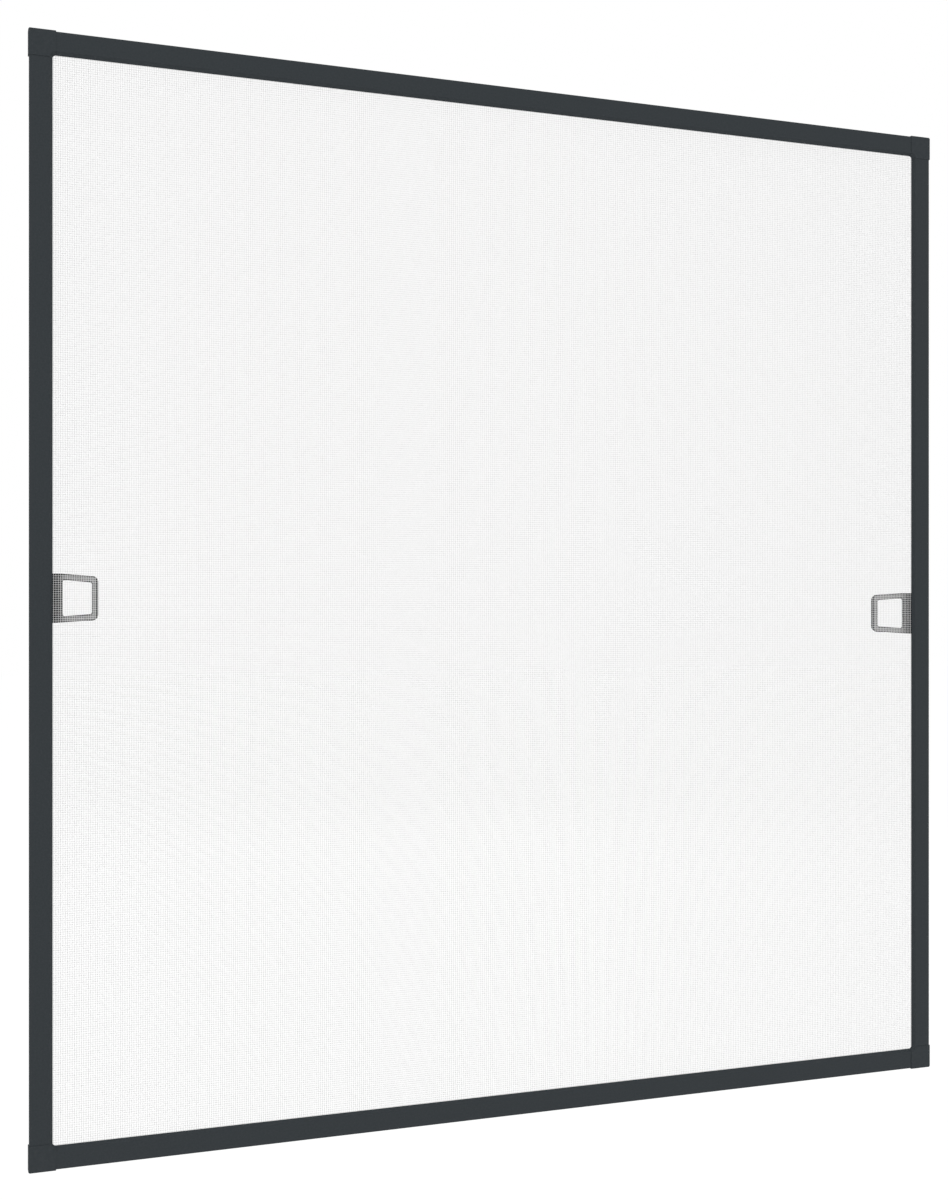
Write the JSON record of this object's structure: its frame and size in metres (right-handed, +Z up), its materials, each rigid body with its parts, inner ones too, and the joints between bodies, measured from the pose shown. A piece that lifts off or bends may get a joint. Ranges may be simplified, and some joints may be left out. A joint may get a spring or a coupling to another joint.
{
  "type": "window screen frame",
  "caption": "Flat window insect screen: dark powder-coated rails plugged together at moulded corners, stretched woven mesh, rear brush seals and small loop handles.",
  "frame": {"origin": "middle of the bottom rail's rear seating strip", "axes": "+X to the right seen from the front, +Y to the rear, +Z up"},
  "size_m": [1.4, 0.0281, 1.5001],
  "materials": {
    "powder_coat": "matt",
    "corner_plastic": "matt",
    "screen_cloth": "woven",
    "spline_rubber": "satin",
    "brush_pile": "pile",
    "handle_plastic": "satin"
  },
  "bodies": {
    "root": {"top_rail": "powder_coat", "bottom_rail": "powder_coat", "left_stile": "powder_coat", "right_stile": "powder_coat", "corner_top_left": "corner_plastic", "corner_top_right": "corner_plastic", "corner_bottom_left": "corner_plastic", "corner_bottom_right": "corner_plastic", "screen_mesh": "screen_cloth", "spline_top": "spline_rubber", "spline_bottom": "spline_rubber", "spline_left": "spline_rubber", "spline_right": "spline_rubber", "brush_seal_top": "brush_pile", "brush_seal_bottom": "brush_pile", "brush_seal_left": "brush_pile", "brush_seal_right": "brush_pile", "handle_left": "handle_plastic", "handle_right": "handle_plastic"}
  },
  "joints": []
}
